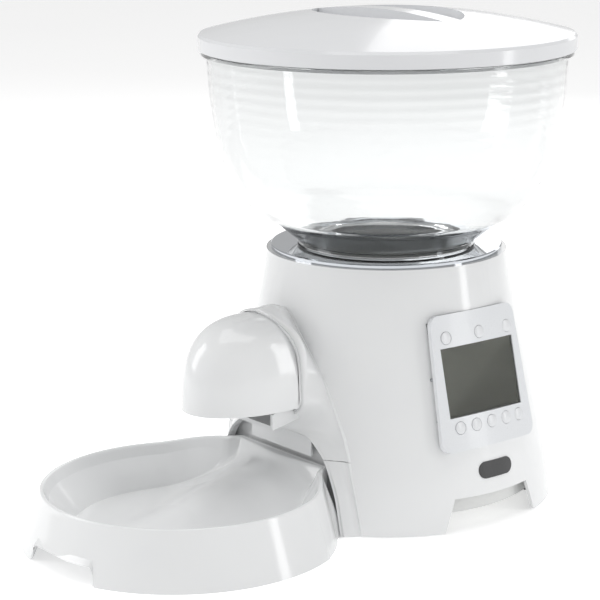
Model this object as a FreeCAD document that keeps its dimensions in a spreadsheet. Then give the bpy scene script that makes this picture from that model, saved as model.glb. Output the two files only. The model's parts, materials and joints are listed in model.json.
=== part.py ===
# Automatic pet feeder: a round tower with a clear hopper on top, a timer panel on the +X side, and a
# chute, a spout hood and a lift-away bowl towards -Y. Millimetres, +Z up, origin on the floor under the
# middle of the whole object. Tower parts are drawn about the tower's own axis and then moved to tower_y.
import FreeCAD, Part
import math
import os
import re
import Sketcher

V = FreeCAD.Vector
UP = V(0, 0, 1)

doc = FreeCAD.newDocument("PetFeeder")
sheet = doc.addObject("Spreadsheet::Sheet", "Sizes")

SIZES = {
    # places, walls and clearances
    "tower_y": 80.3, "bowl_reach": 189, "wall": 3, "gap": 0.3, "run_fit": 0.06,
    # tower shell: outer radius at the floor, at the waist of the S profile and at the shoulder
    "shell_low": 1, "foot_radius": 125, "foot_bend": 118.8, "foot_bend_up": 46, "waist_radius": 106.6,
    "waist_up": 104, "neck_bend": 96.5, "neck_bend_up": 148, "shoulder_radius": 89.3, "shoulder_up": 186.5,
    # the flat front of the tower leans forward a little
    "front_low": 92.3, "front_high": 97.6, "front_top": 158, "far": 300, "below": 5,
    "arch_half": 44, "arch_top_half": 35, "arch_up": 25,
    "post_radius": 5, "post_top": 85, "back_post_out": 36, "back_post_reach": 99.6,
    "front_post_out": 92, "front_post_reach": 53,
    # chrome deck
    "deck_radius": 86, "deck_hole": 64.5, "deck_thick": 3.3,
    # hopper
    "spigot_radius": 63.5, "spigot_low": 168, "hopper_wall": 2.5, "throat_radius": 66, "throat_up": 194,
    "funnel_radius": 97, "funnel_up": 214, "belly_radius": 113.6, "belly_up": 235.5,
    "shelf_radius": 125.3, "shelf_up": 268, "cheek_radius": 129.4, "cheek_up": 296,
    "rim_radius": 131.8, "rim_up": 330.4, "flange_radius": 136.2, "flange_thick": 2.6,
    # lid with two scooped finger recesses and the grip bar between them
    "lid_radius": 138, "lid_low": 334, "lid_edge": 345.5, "lid_crown": 362.5, "lid_wall": 2.5,
    "plug_radius": 126.5, "plug_low": 329.5, "grip_half": 8, "grip_reach": 70, "grip_width": 47, "grip_deep": 8,
    # hopper seat, wheel cup and wheel
    "seat_inner": 64, "seat_outer": 68, "seat_low": 148.8, "seat_flange": 76, "throat_inner": 53,
    "cup_inner": 55, "cup_low": 104, "cup_top": 148.5, "cup_flange": 67, "boss_radius": 9, "boss_low": 98,
    "bush_radius": 6.5, "outlet_in": 17, "outlet_out": 46, "outlet_half": 24,
    "wheel_radius": 53.5, "wheel_low": 108, "wheel_top": 146, "hub_radius": 10, "blade_thick": 2.6,
    "blades": 6, "shaft_radius": 4, "shaft_low": 65, "guard_thick": 1.9, "guard_half": 34, "guard_back": 12,
    # gear train, motor and bracket
    "gear_module": 1.25, "gear_teeth": 40, "pinion_teeth": 16, "gear_low": 74, "gear_width": 8,
    "gear_slack": 0.4, "shaft_apart": 35.1, "motor_shaft": 2.5, "motor_shaft_low": 61,
    "bracket_low": 67, "bracket_thick": 2.5, "bracket_half": 46, "bracket_front": 9, "bracket_back": 62,
    "pinion_hole": 5, "side_post_out": 40, "back_post_y": 57, "stand_radius": 4,
    "gearbox_radius": 18, "gearbox_high": 21, "motor_radius": 13, "motor_high": 27,
    # chute
    "chute_half": 31, "chute_wall": 2.5, "chute_back": 14, "chute_mouth": 132,
    "chute_bend": 62, "chute_lip": 86, "chute_high": 98.5, "chute_low": 74.5,
    "collar_front": 100.6, "collar_back": 99.2, "collar_half": 35, "collar_low": 50, "collar_top": 110,
    "port_half": 32, "port_floor": 73, "port_low": 56, "port_top": 105,
    # hood and the fairing behind it
    "hood_half": 37.7, "hood_centre": 127.4, "hood_reach": 54.7, "hood_low": 89, "hood_spring": 115,
    "hood_wall": 2.5, "fairing_front": 113, "fairing_back": 90, "leg_top": 52.7, "seam": 0.4,
    # bowl, about its own centre
    "bowl_rim": 100.6, "bowl_foot": 114, "bowl_up": 40.4, "bowl_floor": 11, "bowl_side": 140, "bowl_lip": 3, "bowl_skin": 2.5,
    "floor_radius": 84, "neck_front": 150, "neck_dock": 114.5, "neck_back": 96,
    "bowl_arch_half": 38, "bowl_arch_up": 12.5, "ridge_back": 43, "ridge_front": 270,
    # base
    "base_low": 12, "base_thick": 2.5, "base_radius": 113, "base_rim": 28,
    "pad_radius": 6, "pad_thick": 3.2, "pad_boss": 7.5, "pad_out": 86, "pad_front": 67, "pad_back": 77,
    # battery bay
    "cell_radius": 17.1, "cell_length": 61.5, "cell_pitch": 34.8, "tray_half": 73, "tray_front": 86,
    "tray_back": 18, "tray_top": 53, "tray_wall": 2.5, "door_half": 72, "door_thick": 2.4,
    "rail_out": 75.5, "rail_low": 6.8,
    # panel: a plate that leans with the shell and curves round it
    "panel_out": 107.4, "panel_up": 107, "panel_lean": 13.2, "panel_round": 263, "panel_deep": 6.5,
    "panel_top_half": 39.8, "panel_low_half": 44.8, "panel_high": 49.3, "panel_drop": 48.5,
    "panel_corner": 8, "panel_proud": 1, "panel_rim": 1.3, "screen_half": 34.65, "screen_high": 25.6,
    "screen_drop": 24.4, "screen_glass": 1.2, "screen_sunk": 3, "bay_half": 38.5, "bay_high": 45,
    "button_radius": 4.45, "button_bore": 4.7, "button_flange": 5.9, "button_flat": 0.5, "button_proud": 0.7,
    "top_row": 32.7, "low_row": 32, "board_deep": 11.8, "board_thick": 1.6,
    # badge under the panel
    "badge_half": 16, "badge_high": 6, "badge_up": 42, "badge_thick": 0.6,
}
# half width and height of the fairing's edge, from the floor to the top: where it meets the tower,
# at its front, and round the opening that the bowl's neck enters
SEAM = ((84, 1), (78.6, 27), (71.5, 53), (60.5, 82), (46.5, 104), (31, 125), (16, 145), (0, 154))
FRONT = ((77, 1), (71.5, 27), (62, 53), (47, 82), (40.5, 104), (38.2, 125), (27, 148), (0, 158.5))
MOUTH = ((74, 0), (68, 27), (57, 51), (41, 66), (24, 69), (0, 69))
for title, points in (("seam", SEAM), ("front", FRONT), ("mouth", MOUTH)):
    for letter, (half, up) in zip("abcdefgh", points):
        SIZES[f"{title}_half_{letter}"] = half
        SIZES[f"{title}_up_{letter}"] = up
for row, (alias, value) in enumerate(SIZES.items(), start=1):
    sheet.set(f"A{row}", alias)
    sheet.set(f"B{row}", str(value))
    sheet.setAlias(f"B{row}", alias)
doc.recompute()


def cells(text):
    """The expression with every alias read from the sheet."""
    return re.sub(r"\b(?!sqrt\b)[a-z][a-z_]+\b", lambda word: "Sizes." + word.group(0), text)


def number(text):
    """The value of such an expression in millimetres."""
    value = sheet.evalExpression(str(text))
    return float(getattr(value, "Value", value))


def bind(item, **settings):
    for name, text in settings.items():
        item.setExpression(name, cells(str(text)))


def place(item, x="0", y="0", z="0"):
    for axis, text in zip("xyz", (x, y, z)):
        item.setExpression(f".Placement.Base.{axis}", cells(str(text)))
    return item


def fix(drawing, geometry, point, across, up):
    """Hold one point of a sketch at bound distances from the origin."""
    for kind, text, axis in (("DistanceX", across, -2), ("DistanceY", up, -1)):
        value = number(text)
        if abs(value) < 1e-9:
            drawing.addConstraint(Sketcher.Constraint("PointOnObject", geometry, point, axis))
        else:
            index = drawing.addConstraint(Sketcher.Constraint(kind, -1, 1, geometry, point, value))
            drawing.setExpression(f"Constraints[{index}]", cells(str(text)))


def outline(body, role, points):
    """A closed sketch on one of the body's origin planes. Each point is (across, up); a point with a
    third entry, "via", is the middle of an arc between its neighbours."""
    drawing = body.newObject("Sketcher::SketchObject", body.Name + "Outline")
    plane = next(item for item in body.Origin.OriginFeatures if item.Role == role)
    drawing.AttachmentSupport = [(plane, "")]
    drawing.MapMode = "FlatFace"
    spot = [V(number(point[0]), number(point[1]), 0) for point in points]
    corners = [index for index, point in enumerate(points) if len(point) == 2]
    ends = []
    for here, there in zip(corners, corners[1:] + corners[:1]):
        middle = (here + 1) % len(points)
        if middle != there:
            edge = Part.Arc(spot[here], spot[middle], spot[there])
        else:
            edge = Part.LineSegment(spot[here], spot[there])
        geometry = drawing.addGeometry(edge, False)
        first = 1 if (drawing.getPoint(geometry, 1) - spot[here]).Length < 1e-6 else 2
        fix(drawing, geometry, first, *points[here])
        if middle != there:
            mark = drawing.addGeometry(Part.Point(spot[middle]), True)
            fix(drawing, mark, 1, *points[middle][:2])
            drawing.addConstraint(Sketcher.Constraint("PointOnObject", mark, 1, geometry))
        ends.append((geometry, first, 3 - first))
    for before, after in zip(ends, ends[1:] + ends[:1]):
        drawing.addConstraint(Sketcher.Constraint("Coincident", before[0], before[2], after[0], after[1]))
    return drawing


def new_body(label):
    body = doc.addObject("PartDesign::Body", label)
    body.Label = label
    return body


def turn(body, points, groove=False):
    """Revolve an (out, up) outline about the body's own Z axis."""
    drawing = outline(body, "XZ_Plane", points)
    kind = "PartDesign::Groove" if groove else "PartDesign::Revolution"
    feature = body.newObject(kind, body.Name + "Turned")
    feature.Profile = drawing
    feature.ReferenceAxis = (drawing, ["V_Axis"])
    feature.Angle = 360
    drawing.Visibility = False
    return feature


def pad(body, role, points, length, reverse=False, middle=False, cut=False):
    """Pad or pocket an outline by a bound length."""
    drawing = outline(body, role, points)
    kind = "PartDesign::Pocket" if cut else "PartDesign::Pad"
    feature = body.newObject(kind, body.Name + ("Pocket" if cut else "Pad"))
    feature.Profile = drawing
    bind(feature, Length=length)
    feature.Reversed = reverse
    feature.Midplane = middle
    return feature


def turned_piece(label, points, y="tower_y"):
    body = new_body(label)
    turn(body, points)
    return place(body, y=y)


def ring_points(inner, outer, low, high):
    return [(inner, low), (outer, low), (outer, high), (inner, high)]


def box(name, x, y, z, size_x, size_y, size_z):
    """A box from its low corner, every number bound."""
    item = doc.addObject("Part::Box", name)
    bind(item, Length=size_x, Width=size_y, Height=size_z)
    return place(item, x, y, z)


def cylinder(name, x, y, z, radius, height):
    item = doc.addObject("Part::Cylinder", name)
    bind(item, Radius=radius, Height=height)
    return place(item, x, y, z)


def fuse(name, items):
    item = doc.addObject("Part::MultiFuse", name)
    item.Shapes = items
    return item


def cut(name, base, tool):
    item = doc.addObject("Part::Cut", name)
    item.Base = base
    item.Tool = tool
    return item


def common(name, items):
    item = doc.addObject("Part::MultiCommon", name)
    item.Shapes = items
    return item


def feature(label, shape, y="tower_y"):
    """A Part::Feature for shapes that neither sketches nor primitives give."""
    item = doc.addObject("Part::Feature", label)
    item.Label = label
    item.Shape = shape
    item.Placement = FreeCAD.Placement(V(0, number(y), 0), FreeCAD.Rotation())
    return item


pieces = []


def keep(item):
    """Count an object as a finished sub-part under its node's name."""
    pieces.append(item)
    return item


# tower shell
def tower_block(name, inset):
    """The tower's outer form as one solid, drawn in by inset all round, with its flat front."""
    body = new_body(name)
    turn(body, [
        ("0", "shell_low - " + inset), ("foot_radius - " + inset, "shell_low - " + inset),
        ("foot_bend - " + inset, "foot_bend_up", "via"), ("waist_radius - " + inset, "waist_up"),
        ("neck_bend - " + inset, "neck_bend_up", "via"),
        ("shoulder_radius - " + inset, "shoulder_up - " + inset), ("0", "shoulder_up - " + inset)])
    pad(body, "YZ_Plane", [
        (inset + " - front_low", "-below"), (inset + " - front_high", "front_top"),
        ("-far", "front_top"), ("-far", "-below")], "far", middle=True, cut=True)
    return body


def panel_frame(x=0, y=0, z=0):
    """The panel's own frame: X across it, Y up its slope and Z out of its face."""
    lean = math.radians(number("panel_lean"))
    out = V(math.cos(lean), 0, math.sin(lean))
    slope = V(-math.sin(lean), 0, math.cos(lean))
    turned = FreeCAD.Rotation(V(0, 1, 0), slope, out, "ZXY")
    base = V(number("panel_out"), 0, number("panel_up"))
    return FreeCAD.Placement(base, turned) * FreeCAD.Placement(V(x, y, z), FreeCAD.Rotation())


def on_panel(item, x="0", y="0", z="0"):
    item.Placement = panel_frame(number(x), number(y), number(z))
    return item


def panel_block(name, grow, low, sunk):
    """The panel's rounded outline, grown, from a depth up to its curved face or sunk below that."""
    body = new_body(name + "Prism")
    pad(body, "XY_Plane", [
        (f"-panel_low_half - {grow}", f"-panel_drop - {grow}"),
        (f"panel_low_half + {grow}", f"-panel_drop - {grow}"),
        (f"panel_top_half + {grow}", f"panel_high + {grow}"),
        (f"-panel_top_half - {grow}", f"panel_high + {grow}")], f"{low} + 5")
    doc.recompute()
    prism = body.Tip
    upright = [f"Edge{index}" for index, edge in enumerate(prism.Shape.Edges, start=1)
               if abs(edge.tangentAt(edge.FirstParameter).z) > 0.99]
    rounding = body.newObject("PartDesign::Fillet", name + "Corners")
    rounding.Base = (prism, upright)
    bind(rounding, Radius="panel_corner + " + grow)
    on_panel(body, z="-" + low)
    drum = doc.addObject("Part::Cylinder", name + "Drum")
    bind(drum, Radius="panel_round - " + sunk, Height="far")
    lay = FreeCAD.Placement(V(0, -number("far") / 2, 0), FreeCAD.Rotation(V(1, 0, 0), -90))
    drum.Placement = panel_frame(z=-number("panel_round")) * lay
    return common(name, [body, drum])


def panel_box(name, left, right, low, high, deep, shallow):
    """A box in the panel's frame, from deep to shallow below its face."""
    item = doc.addObject("Part::Box", name)
    bind(item, Length=f"{right} - ({left})", Width=f"{high} - ({low})", Height=f"{deep} - ({shallow})")
    return on_panel(item, left, low, f"-({deep})")


def panel_pin(name, x, y, deep, length, radius):
    item = doc.addObject("Part::Cylinder", name)
    bind(item, Radius=radius, Height=length)
    return on_panel(item, x, y, f"-({deep})")


def arch_block(name, role, reverse, middle):
    body = new_body(name)
    pad(body, role, [
        ("-arch_half", "-below"), ("arch_half", "-below"), ("arch_half", "0"), ("arch_top_half", "arch_up"),
        ("-arch_top_half", "arch_up"), ("-arch_half", "0")], "far", reverse=reverse, middle=middle)
    return body


POSTS = [(f"{side}{out}", f"{way}{reach}") for side in ("", "-") for out, way, reach in
         (("back_post_out", "", "back_post_reach"), ("front_post_out", "-", "front_post_reach"))]
PANEL_SCREWS = [(side + "40.4", up) for side in ("", "-") for up in ("-25", "5")]
posts = [cylinder(f"Post{index}", x, y, "base_low + base_thick", "post_radius",
                  "post_top - base_low - base_thick") for index, (x, y) in enumerate(POSTS)]
hollow = tower_block("TowerHollow", "wall")
post_holes = [cylinder(f"PostHole{index}", x, y, "base_low", "1.5", "16")
              for index, (x, y) in enumerate(POSTS)]
outer_form = fuse("ShellForm", [tower_block("TowerForm", "0"),
                                panel_block("PanelRim", "panel_rim", "12", "panel_proud")])
raw_shell = cut("ShellRaw", outer_form, fuse("ShellVoid", [
    hollow, cylinder("DeckHole", "0", "0", "shoulder_up - 9", "seat_outer + gap", "15"),
    box("ChutePort", "-port_half", "-front_high - 5", "port_low", "2 * port_half", "20", "port_top - port_low"),
    panel_block("PanelSeat", "0.15", "panel_deep", "-3"),
    panel_box("PanelBay", "-bay_half", "bay_half", "-bay_high", "bay_high", "30", "panel_deep - 1"),
    arch_block("ArchSides", "YZ_Plane", False, True), arch_block("ArchBack", "XZ_Plane", True, False)]))
inside_posts = common("InsidePosts", [fuse("PostSet", posts), tower_block("PostLimit", "0.5")])
shell = cut("body_shell", fuse("ShellWithPosts", [raw_shell, inside_posts]), fuse("ShellHoles",
            post_holes + [panel_pin(f"LedgeHole{index}", x, up, "16", "12", "1.3")
                          for index, (x, up) in enumerate(PANEL_SCREWS)]))
keep(place(shell, y="tower_y"))

# chrome deck, hopper seat, wheel cup, guard and bush
keep(turned_piece("deck_plate", [
    ("deck_hole", "shoulder_up"), ("deck_radius", "shoulder_up"),
    ("deck_radius", "shoulder_up + deck_thick - 0.8"), ("deck_radius - 0.8", "shoulder_up + deck_thick"),
    ("deck_hole", "shoulder_up + deck_thick")]))
keep(turned_piece("hopper_seat", [
    ("throat_inner", "seat_low"), ("seat_outer", "seat_low"), ("seat_outer", "shoulder_up - wall - 3"),
    ("seat_flange", "shoulder_up - wall - 3"), ("seat_flange", "shoulder_up - wall"),
    ("seat_outer", "shoulder_up - wall"), ("seat_outer", "shoulder_up"), ("seat_inner", "shoulder_up"),
    ("seat_inner", "spigot_low - 0.5"), ("throat_inner", "seat_low + wall")]))

cup = new_body("CupTurned")
turn(cup, [
    ("bush_radius", "boss_low"), ("boss_radius", "boss_low"), ("boss_radius", "cup_low"),
    ("cup_inner + wall", "cup_low"), ("cup_inner + wall", "cup_top - wall"), ("cup_flange", "cup_top - wall"),
    ("cup_flange", "cup_top"), ("cup_inner", "cup_top"), ("cup_inner", "cup_low + wall"),
    ("bush_radius", "cup_low + wall")])
STANDS = [("side_post_out", "0"), ("-side_post_out", "0"), ("0", "back_post_y")]
stands = [cylinder(f"Stand{index}", x, y, "bracket_low + bracket_thick", "stand_radius",
                   "cup_low - bracket_low - bracket_thick + 1") for index, (x, y) in enumerate(STANDS)]
stand_holes = [cylinder(f"StandHole{index}", x, y, "bracket_low", "1.4", "14")
               for index, (x, y) in enumerate(STANDS)]
CUP_SCREWS = [(62.5, angle) for angle in (45, 135, 225, 315)]
cup_holes = [cylinder(f"CupHole{index}", str(reach * math.cos(math.radians(angle))),
                      str(reach * math.sin(math.radians(angle))), "cup_top - 5", "1.4", "6")
             for index, (reach, angle) in enumerate(CUP_SCREWS)]
wheel_cup = cut("wheel_cup", fuse("CupWithStands", [cup] + stands), fuse("CupHoles", stand_holes + cup_holes + [
    box("Outlet", "-outlet_half", "-outlet_out", "cup_low - 2", "2 * outlet_half",
        "outlet_out - outlet_in", "wall + 4")]))
keep(place(wheel_cup, y="tower_y"))
guard = common("flow_guard", [
    box("GuardBox", "-guard_half", "-cup_inner", "seat_low - guard_thick", "2 * guard_half",
        "cup_inner - guard_back", "guard_thick"),
    cylinder("GuardDisc", "0", "0", "seat_low - guard_thick", "cup_inner - 0.1", "guard_thick")])
keep(place(guard, y="tower_y"))
keep(turned_piece("shaft_bush", ring_points("shaft_radius + run_fit", "bush_radius", "boss_low",
                                            "cup_low + wall")))

# portion wheel and its shaft
wheel = new_body("portion_wheel")
turn(wheel, ring_points("shaft_radius", "hub_radius", "0", "wheel_top - wheel_low"))
pad(wheel, "XY_Plane", [
    ("hub_radius - 1", "-blade_thick / 2"), ("wheel_radius", "-blade_thick / 2"),
    ("wheel_radius", "blade_thick / 2"), ("hub_radius - 1", "blade_thick / 2")], "wheel_top - wheel_low")


def repeat(body, count):
    """Repeat the body's last feature evenly about its Z axis."""
    pattern = body.newObject("PartDesign::PolarPattern", body.Name + "Round")
    pattern.Originals = [body.Tip]
    pattern.Axis = (body.Origin.OriginFeatures[2], [""])
    pattern.Angle = 360
    pattern.Occurrences = count
    body.Tip = pattern
    return pattern


repeat(wheel, int(SIZES["blades"]))
keep(place(wheel, y="tower_y", z="wheel_low"))
keep(cylinder("wheel_shaft", "0", "tower_y", "shaft_low", "shaft_radius", "wheel_top - shaft_low"))


def gear(label, teeth, bore):
    """A spur gear blank with straight-flanked tooth gaps, the first one towards +Y."""
    pitch = f"(gear_module * {teeth} / 2)"
    body = new_body(label)
    turn(body, ring_points(bore, pitch + " + gear_module", "0", "gear_width"))
    half = "(gear_module * 3.14159 / 4 + gear_slack / 2"
    pad(body, "XY_Plane", [
        ("-" + half + " - gear_module * 0.455)", pitch + " - gear_module * 1.25"),
        (half + " - gear_module * 0.455)", pitch + " - gear_module * 1.25"),
        (half + " + gear_module * 0.51)", pitch + " + gear_module * 1.4"),
        ("-" + half + " + gear_module * 0.51)", pitch + " + gear_module * 1.4")],
        "gear_width", reverse=True, cut=True)
    repeat(body, int(number(teeth)))
    return keep(body)


place(gear("drive_gear", "gear_teeth", "shaft_radius"), y="tower_y", z="gear_low")
pinion = gear("motor_pinion", "pinion_teeth", "motor_shaft")
place(pinion, y="tower_y + shaft_apart", z="gear_low")
pinion.Placement.Rotation = FreeCAD.Rotation(UP, 180 / SIZES["pinion_teeth"])
keep(cylinder("motor_shaft", "0", "tower_y + shaft_apart", "motor_shaft_low", "motor_shaft",
              "gear_low + gear_width - motor_shaft_low"))

# bracket and gear motor
MOTOR_SCREWS = [("12", "shaft_apart"), ("-12", "shaft_apart")]
bracket = cut("motor_bracket",
              box("BracketPlate", "-bracket_half", "-bracket_front", "bracket_low", "2 * bracket_half",
                  "bracket_front + bracket_back", "bracket_thick"),
              fuse("BracketHoles", [
                  cylinder("BracketBore", "0", "0", "bracket_low - 1", "shaft_radius + run_fit", "6"),
                  cylinder("BracketPinion", "0", "shaft_apart", "bracket_low - 1", "pinion_hole", "6")]
                  + [cylinder(f"BracketHole{index}", x, y, "bracket_low - 1", "1.5", "6")
                     for index, (x, y) in enumerate(STANDS + MOTOR_SCREWS)]))
keep(place(bracket, y="tower_y"))
motor = cut("gear_motor", fuse("MotorForm", [
    cylinder("Gearbox", "0", "shaft_apart", "bracket_low - gearbox_high", "gearbox_radius", "gearbox_high"),
    cylinder("MotorCan", "0", "shaft_apart", "bracket_low - gearbox_high - motor_high", "motor_radius",
             "motor_high + 1")]),
    fuse("MotorHoles", [
        cylinder("MotorBore", "0", "shaft_apart", "motor_shaft_low - 0.5", "motor_shaft + run_fit", "20")]
        + [cylinder(f"MotorHole{index}", x, y, "bracket_low - 6", "1.4", "10")
           for index, (x, y) in enumerate(MOTOR_SCREWS)]))
keep(place(motor, y="tower_y"))

# chute: a sloping trough from the wheel's outlet to the spout
chute = new_body("food_chute")
pad(chute, "YZ_Plane", [
    ("-chute_back", "cup_low"), ("-chute_bend", "cup_low"), ("-chute_mouth", "chute_lip"),
    ("-chute_mouth", "chute_low"), ("-chute_back", "chute_high")], "2 * chute_half", middle=True)
pad(chute, "YZ_Plane", [
    ("-collar_back", "collar_low"), ("-collar_back", "collar_top"), ("-collar_front", "collar_top"),
    ("-collar_front", "collar_low")], "2 * collar_half", middle=True)
CHUTE_FALL = "(chute_high - chute_low) / (chute_mouth - chute_back)"
pad(chute, "YZ_Plane", [
    ("-chute_back - chute_wall", "cup_low + 9"), ("-chute_mouth - 9", "cup_low + 9"),
    ("-chute_mouth - 9", f"chute_low + 3 - 9 * {CHUTE_FALL}"), ("-chute_back - chute_wall", "chute_high + 1.6")],
    "2 * (chute_half - chute_wall)", middle=True, cut=True)
keep(place(chute, y="tower_y"))


# hood over the spout
def hood_block(inset, low, back):
    """The hood's form drawn in by inset: a dome stretched forwards over an oval skirt, and a tunnel."""
    half = number("hood_half") - inset
    centre = -number("hood_centre")
    spring = number("hood_spring")
    crown = V(0, 0, spring + half)
    diagonal = half * math.sqrt(0.5)
    side = [Part.makeLine(V(0, 0, low), V(half, 0, low)), Part.makeLine(V(half, 0, low), V(half, 0, spring)),
            Part.Arc(V(half, 0, spring), V(diagonal, 0, spring + diagonal), crown).toShape(),
            Part.makeLine(crown, V(0, 0, low))]
    nose = Part.Face(Part.Wire(side)).revolve(V(), V(0, 0, -1), 180)
    stretch = FreeCAD.Matrix()
    stretch.scale(1, (number("hood_reach") - inset) / half, 1)
    nose = nose.transformGeometry(stretch)
    nose.translate(V(0, centre, 0))
    corners = [V(half, centre, spring), V(half, centre, low), V(-half, centre, low), V(-half, centre, spring)]
    roof = Part.Arc(corners[3], V(0, centre, spring + half), corners[0]).toShape()
    face = Part.Face(Part.Wire(Part.makePolygon(corners).Edges + [roof]))
    return nose.fuse(face.extrude(V(0, -back - centre, 0)))


hood = hood_block(0, number("hood_low"), number("fairing_front + seam")).cut(
    hood_block(number("hood_wall"), number("hood_low") - 5, number("fairing_front") - 5))
keep(feature("spout_hood", hood))


# fairing between the tower's flat front and the hood, and the two legs that the bowl docks between
def arch_wire(title, inset, y):
    """An arch through the named points, closed along the floor, in the plane at y."""
    letters = [letter for letter in "abcdefgh" if f"{title}_half_{letter}" in SIZES]
    side = [(max(number(f"{title}_half_{letter}") - inset, 0), number(f"{title}_up_{letter}"))
            for letter in letters]
    side[0] = (side[0][0], side[0][1] - inset)
    side[-1] = (0, side[-1][1] - inset)
    points = [V(half, y, up) for half, up in side] + [V(-half, y, up) for half, up in reversed(side[:-1])]
    curve = Part.BSplineCurve()
    curve.interpolate(points)
    return Part.Wire([curve.toShape(), Part.makeLine(points[-1], points[0])])


def fairing_block(inset, front):
    back = -number("fairing_back")
    seam = -number("front_high")
    wires = [arch_wire("seam", inset, back), arch_wire("seam", inset, seam), arch_wire("front", inset, front)]
    return Part.makeLoft(wires, True, True)


def front_half_space():
    """Everything behind the tower's leaning front."""
    low = -number("front_low + gap")
    high = -number("front_high + gap")
    top = number("front_top")
    lean = (high - low) / top
    points = [V(-200, low - 20 * lean, -20), V(-200, low + 200 * lean, 200), V(-200, 0, 200), V(-200, 0, -20)]
    return Part.Face(Part.makePolygon(points + points[:1])).extrude(V(400, 0, 0))


def hood_tunnel():
    half = number("hood_half - hood_wall")
    spring = number("hood_spring")
    deep = number("fairing_front - fairing_back") + 10
    start = -number("fairing_front") - 5
    low = number("port_floor")
    arch = Part.makeCylinder(half, deep, V(0, start, spring), V(0, 1, 0))
    return arch.fuse(Part.makeBox(2 * half, deep, spring - low, V(-half, start, low)))


mouth = Part.Face(arch_wire("mouth", 0, -number("fairing_front") - 5)).extrude(V(0, 60, 0))
fairing = fairing_block(0, -number("fairing_front")).cut(
    fairing_block(number("wall"), -number("fairing_front - wall")))
fairing = fairing.cut(front_half_space()).cut(hood_tunnel()).cut(mouth)
leg_top = number("leg_top")
upper = Part.makeBox(400, 400, 400, V(-200, -300, leg_top + number("seam")))
keep(feature("front_shell", fairing.common(upper)))
for label, corner in (("leg_left", -200), ("leg_right", 0)):
    keep(feature(label, fairing.common(Part.makeBox(200, 400, leg_top + 50, V(corner, -300, -50)))))


# bowl, with its neck between the legs and a ridge that spreads the food to both sides
def section(points, y):
    half = [V(across, y, up) for across, up in points]
    loop = half + [V(-point.x, point.y, point.z) for point in reversed(half)]
    return Part.makePolygon(loop + loop[:1])


reach = -number("bowl_reach")
lip = number("bowl_lip")
rim_up = number("bowl_up")
floor_up = number("bowl_floor")
skin = number("bowl_skin")
neck_y = [-number(name) for name in ("neck_front", "neck_dock", "neck_back")]
DOCK = [(72.3, 0.5), (66.3, 27), (60.3, 40), (54, 47.5)]
MOUTH_OF_NECK = [(94, 0.5), (91.6, 20), (88.5, 36), (86, 41)]
neck = Part.makeLoft([section(MOUTH_OF_NECK, neck_y[0]), section(DOCK, neck_y[1]),
                      section(DOCK, neck_y[2])], True, True)
ramp_y = neck_y[0] - 8
neck_room = Part.makeLoft([
    section([(74, floor_up), (92.4, rim_up), (92.4, 60)], ramp_y),
    section([(60, 20), (81, 42.6), (81, 60)], -number("neck_dock") - 21.5),
    section([(40, 34), (50.5, 45), (50.5, 60)], neck_y[1]),
    section([(34, 41), (47, 46), (47, 60)], neck_y[2] - lip)], True, True)
ridge = Part.makeLoft([section([(46, floor_up - 1), (20, 34), (5, number("ridge_back"))], neck_y[2] - 1),
                       section([(44, floor_up - 1), (20, 26), (4, 33)], neck_y[0] - 10),
                       section([(14, floor_up - 1), (6, floor_up), (1, floor_up + 1)],
                               -number("ridge_front"))], True, True)


def bowl_turned(points):
    face = Part.Face(Part.makePolygon([V(out, 0, up) for out, up in points + points[:1]]))
    solid = face.revolve(V(), UP, 360)
    solid.translate(V(0, reach, 0))
    return solid


def bowl_limit(inset):
    """The bowl's plan is cut off at the back, clear of the legs and of the tower's front."""
    dock = number("neck_dock") + inset
    side = number("bowl_side")
    points = [V(75 - inset, -dock, -20), V(side, -dock - (side - 75 + inset) * 0.92, -20), V(side, -400, -20),
              V(-side, -400, -20), V(-side, -dock - (side - 75 + inset) * 0.92, -20), V(inset - 75, -dock, -20)]
    return Part.Face(Part.makePolygon(points + points[:1])).extrude(V(0, 0, 200))


foot = number("bowl_foot")
rim = number("bowl_rim")
floor_out = number("floor_radius")
outer = bowl_turned([(0, 0), (foot, 0), (rim, rim_up - 1.5), (rim - 1.5, rim_up), (0, rim_up)])
outer = outer.common(bowl_limit(0))
room = bowl_turned([(0, floor_up), (floor_out - 8, floor_up), (floor_out, floor_up + 4),
                    (rim - lip, rim_up + 1), (rim - lip, 60), (0, 60)]).common(
    Part.makeBox(400, 400, 200, V(-200, ramp_y - 400, -50)))
under = bowl_turned([(0, -1), (foot - skin, -1), (rim - 1, rim_up - 6), (rim - lip - 1, rim_up - 6),
                     (floor_out + skin, floor_up + 2), (floor_out - 7, floor_up - skin),
                     (0, floor_up - skin)]).common(bowl_limit(skin))
neck_under = Part.makeLoft([
    section([(92 - skin, -1), (90 - skin, 5), (62, 6)], neck_y[0]),
    section([(82 - skin, -1), (79 - skin, 10), (50, 15)], -number("neck_dock") - 21.5),
    section([(72.3 - skin, -1), (70 - skin, 10), (37, 28)], neck_y[1] + 1.5),
    section([(72.3 - skin, -1), (70 - skin, 10), (36, 32)], neck_y[2] - skin)], True, True)
arch = Part.makeLoft([section([(number("bowl_arch_half") + 6, -1), (number("bowl_arch_half"),
                      number("bowl_arch_up"))], reach - foot - 5),
                      section([(number("bowl_arch_half") + 6, -1), (number("bowl_arch_half"),
                      number("bowl_arch_up"))], reach - 80)], True, True)
bowl = outer.fuse(neck).cut(room).cut(neck_room)
bowl = bowl.fuse(ridge.common(outer.fuse(neck))).cut(under).cut(neck_under).cut(arch)
keep(feature("feeding_bowl", bowl.removeSplitter()))


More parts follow.
